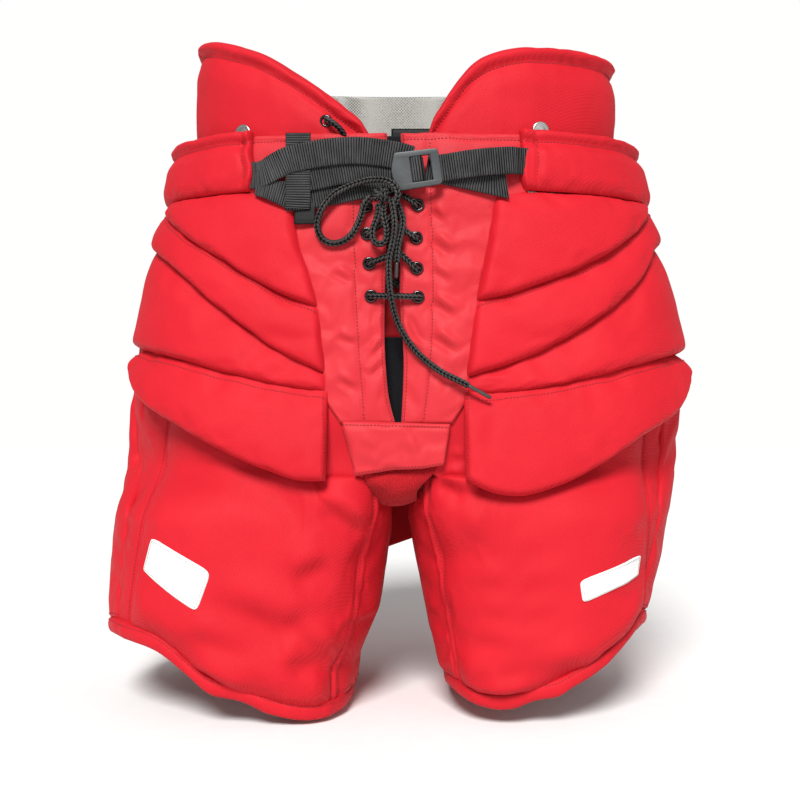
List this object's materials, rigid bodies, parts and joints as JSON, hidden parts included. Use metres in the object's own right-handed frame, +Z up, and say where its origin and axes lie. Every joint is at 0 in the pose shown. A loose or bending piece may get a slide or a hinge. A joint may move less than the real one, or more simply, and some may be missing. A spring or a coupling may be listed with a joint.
{
  "type": "hockey pants",
  "caption": "Padded goalie hockey pants with tiered hip pads, hanging hip flaps, laced fly, webbing belt with ladder buckle, kidney wings and separately moving legs.",
  "frame": {"origin": "on the floor, under the middle of the pants", "axes": "+Z up from the leg hems to the kidney pads, front of the pants towards -Y, +X to the right of the front view"},
  "size_m": [0.6044, 0.3412, 0.677],
  "materials": {
    "red_shell": "woven nylon twill shell, matt with a soft sheen",
    "red_pad": "woven nylon twill over foam, matt with a soft sheen",
    "red_knit": "knitted stretch gusset, matt",
    "grey_mesh": "air mesh lining",
    "black_fabric": "black brushed lining",
    "webbing": "ribbed nylon webbing",
    "lace": "braided round lace",
    "buckle_plastic": "moulded, satin",
    "eyelet_enamel": "gloss black enamel",
    "button_metal": "polished",
    "thigh_plate_plastic": "natural sheet plastic"
  },
  "bodies": {
    "girdle": {"aglet_long": "eyelet_enamel", "back_liner": "grey_mesh", "crotch_gusset": "red_knit", "crotch_panel": "red_shell", "eyelet_left_1": "eyelet_enamel", "eyelet_left_2": "eyelet_enamel", "eyelet_left_3": "eyelet_enamel", "eyelet_left_4": "eyelet_enamel", "eyelet_right_1": "eyelet_enamel", "eyelet_right_2": "eyelet_enamel", "eyelet_right_3": "eyelet_enamel", "eyelet_right_4": "eyelet_enamel", "fly_panel_left": "red_shell", "fly_panel_right": "red_shell", "fly_tongue": "black_fabric", "hip_pad_lower_left": "red_pad", "hip_pad_lower_right": "red_pad", "hip_pad_middle_left": "red_pad", "hip_pad_middle_right": "red_pad", "hip_pad_upper_left": "red_pad", "hip_pad_upper_right": "red_pad", "inner_waistband": "red_shell", "kidney_pad_left": "red_shell", "kidney_pad_right": "red_shell", "lace_knot": "lace", "lace_lacing": "lace", "lace_loop_large": "lace", "lace_loop_small": "lace", "lace_tail_long": "lace", "lace_tail_short": "lace", "lace_wing": "lace", "seat_pad_left": "red_shell", "seat_pad_right": "red_shell", "spine_pad": "red_shell", "strap_keeper": "webbing", "strap_long": "webbing", "strap_lower": "webbing", "strap_right": "webbing", "tailbone_pad": "red_shell", "waistband_left": "red_shell", "waistband_right": "red_shell"},
    "leg_left": {"thigh_pad_left": "red_pad", "thigh_plate_left": "thigh_plate_plastic", "leg_side_panel_left": "red_pad", "leg_back_panel_left": "red_pad", "leg_hem_left": "red_pad"},
    "leg_right": {"thigh_pad_right": "red_pad", "thigh_plate_right": "thigh_plate_plastic", "leg_side_panel_right": "red_pad", "leg_back_panel_right": "red_pad", "leg_hem_right": "red_pad"},
    "flap_left": {"hip_flap_left": "red_pad"},
    "wing_left": {"kidney_wing_left": "red_shell", "eyelet_wing": "eyelet_enamel"},
    "button_left": {"suspender_button_left": "button_metal"},
    "flap_right": {"hip_flap_right": "red_pad"},
    "wing_right": {"kidney_wing_right": "red_shell"},
    "button_right": {"suspender_button_right": "button_metal"},
    "buckle": {"buckle": "buckle_plastic", "strap_tail": "webbing"}
  },
  "joints": [
    {"name": "leg_left_flex", "type": "hinge", "parent": "girdle", "child": "leg_left", "pos_m": [-0.15, -0.135, 0.235], "axis": [-1, 0, 0], "range_deg": [0, 20]},
    {"name": "flap_left_lift", "type": "hinge", "parent": "girdle", "child": "flap_left", "pos_m": [-0.22773, -0.10831, 0.34591], "axis": [-0.794, 0.608, 0], "range_deg": [0, 35]},
    {"name": "wing_left_fold", "type": "hinge", "parent": "girdle", "child": "wing_left", "pos_m": [-0.0912, -0.1191, 0.575], "axis": [-0.794, 0.608, 0], "range_deg": [0, 18]},
    {"name": "button_left_swivel", "type": "hinge", "parent": "girdle", "child": "button_left", "pos_m": [-0.15018, -0.10363, 0.5655], "axis": [-0.4138, -0.9104, 0], "continuous": true},
    {"name": "leg_right_flex", "type": "hinge", "parent": "girdle", "child": "leg_right", "pos_m": [0.15, -0.135, 0.235], "axis": [-1, 0, 0], "range_deg": [0, 20]},
    {"name": "flap_right_lift", "type": "hinge", "parent": "girdle", "child": "flap_right", "pos_m": [0.24876, -0.10456, 0.34115], "axis": [-0.794, -0.608, 0], "range_deg": [0, 35]},
    {"name": "wing_right_fold", "type": "hinge", "parent": "girdle", "child": "wing_right", "pos_m": [0.0912, -0.1191, 0.575], "axis": [-0.794, -0.608, 0], "range_deg": [0, 18]},
    {"name": "button_right_swivel", "type": "hinge", "parent": "girdle", "child": "button_right", "pos_m": [0.13211, -0.11269, 0.5655], "axis": [0.2833, -0.959, 0], "continuous": true},
    {"name": "buckle_slide", "type": "slide", "parent": "girdle", "child": "buckle", "axis": [1, 0, 0], "range_m": [-0.004, 0.012]}
  ]
}
